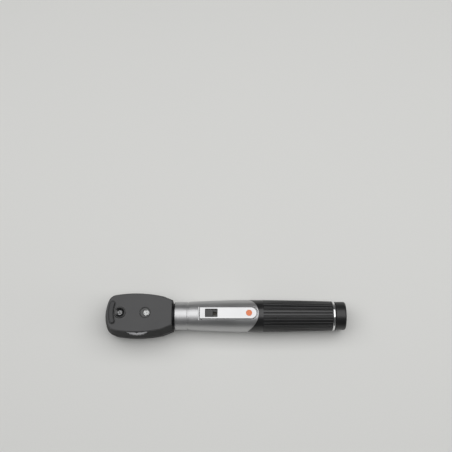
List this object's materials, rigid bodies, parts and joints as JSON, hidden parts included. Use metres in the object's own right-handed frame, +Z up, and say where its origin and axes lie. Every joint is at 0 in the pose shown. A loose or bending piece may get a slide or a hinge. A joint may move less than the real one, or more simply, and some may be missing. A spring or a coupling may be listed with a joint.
{
  "type": "ophthalmoscope",
  "caption": "Hand-held direct ophthalmoscope: black sight head with lens and aperture discs on a ribbed battery handle with clip and slide switch.",
  "frame": {"origin": "centre of the bounding box's base", "axes": "+Z up from the patient side to the examiner's side, handle along X with the end cap at +X and the sight head at -X"},
  "size_m": [0.181, 0.0336, 0.028],
  "materials": {
    "satin_steel": "satin, fine brushed",
    "clip_steel": "bright satin",
    "chrome_trim": "polished",
    "plated_steel": "nickel plated",
    "spring_steel": "bright drawn wire",
    "contact_brass": "clean brass",
    "black_plastic": "fine matt moulding",
    "cap_black": "smooth satin moulding",
    "head_black": "fine sparked texture",
    "gloss_black": "semi-gloss",
    "black_rubber": "soft matt",
    "black_anodised": "matt black anodised",
    "lens_glass": "clear coated",
    "mirror_glass": "front silvered",
    "wheel_grey": "light grey moulding",
    "wheel_black": "black moulding",
    "dial_white": "printed white dial with black numbers",
    "green_filter": "green filter glass",
    "white_insulator": "off-white moulding",
    "cell_wrap": "shrink sleeve",
    "orange_inlay": "orange enamel"
  },
  "bodies": {
    "handle": {"neck_collar": "satin_steel", "upper_sleeve": "satin_steel", "grip_sleeve": "black_plastic", "trim_ring": "chrome_trim", "battery_tube": "plated_steel", "battery_cells": "cell_wrap", "front_insulator": "white_insulator", "contact_plunger": "contact_brass", "front_contact": "contact_brass", "front_spring": "spring_steel", "switch_bed": "black_plastic", "switch_contact": "contact_brass", "clip_pin": "plated_steel"},
    "clip": {"pocket_clip": "clip_steel", "clip_inlay": "orange_inlay"},
    "switch": {"switch_slider": "black_plastic", "switch_wiper": "contact_brass"},
    "contact_carrier": {"cap_contact": "contact_brass", "cap_spring": "spring_steel"},
    "cap": {"end_cap": "cap_black"},
    "head": {"head_housing": "head_black", "head_cover": "head_black", "brow_rest": "black_rubber", "sight_ring": "gloss_black", "sight_glass": "lens_glass", "readout_ring": "gloss_black", "readout_lens": "lens_glass", "wheel_axle": "plated_steel", "detent_ball": "plated_steel", "detent_leaf": "spring_steel", "aperture_axle": "plated_steel", "light_tube": "black_anodised", "condenser_lens": "lens_glass", "projection_lens": "lens_glass", "mirror_carrier": "black_anodised", "mirror": "mirror_glass", "patient_window_ring": "gloss_black", "patient_window_glass": "lens_glass", "head_connector": "black_anodised", "retaining_ring": "spring_steel", "bulb_base": "contact_brass", "bulb_contact": "plated_steel", "bulb_glass": "lens_glass", "casing_screws": "plated_steel"},
    "lens_disc": {"lens_wheel": "wheel_grey", "dial_ring": "dial_white", "corrective_lenses": "lens_glass"},
    "aperture_disc": {"aperture_wheel": "wheel_black", "red_free_filter": "green_filter"}
  },
  "joints": [
    {"name": "head_pull", "type": "slide", "parent": "handle", "child": "head", "axis": [-1, 0, 0], "range_m": [0, 0.012]},
    {"name": "lens_disc_spin", "type": "hinge", "parent": "head", "child": "lens_disc", "pos_m": [-0.0652, -0.0012, 0.0229], "axis": [0, 0, 1], "continuous": true},
    {"name": "aperture_disc_spin", "type": "hinge", "parent": "head", "child": "aperture_disc", "pos_m": [-0.0505, 0, 0.0075], "axis": [1, 0, 0], "continuous": true},
    {"name": "switch_slide", "type": "slide", "parent": "handle", "child": "switch", "axis": [1, 0, 0], "range_m": [0, 0.0032]},
    {"name": "clip_flex", "type": "hinge", "parent": "handle", "child": "clip", "pos_m": [-0.0185, 0, 0.0209], "axis": [0, -1, 0], "range_deg": [0, 4], "stiffness_Nm_per_rad": 6, "springref_deg": -0.57},
    {"name": "contact_travel", "type": "slide", "parent": "handle", "child": "contact_carrier", "axis": [1, 0, 0], "range_m": [0, 0.006]},
    {"name": "cap_unscrew", "type": "hinge", "parent": "contact_carrier", "child": "cap", "pos_m": [0.0864, 0, 0.012], "axis": [1, 0, 0], "range_deg": [0, 545]}
  ],
  "couplings": [
    {"joint": "cap_unscrew", "follows": "contact_travel", "rad_per_m": 1570.8}
  ]
}
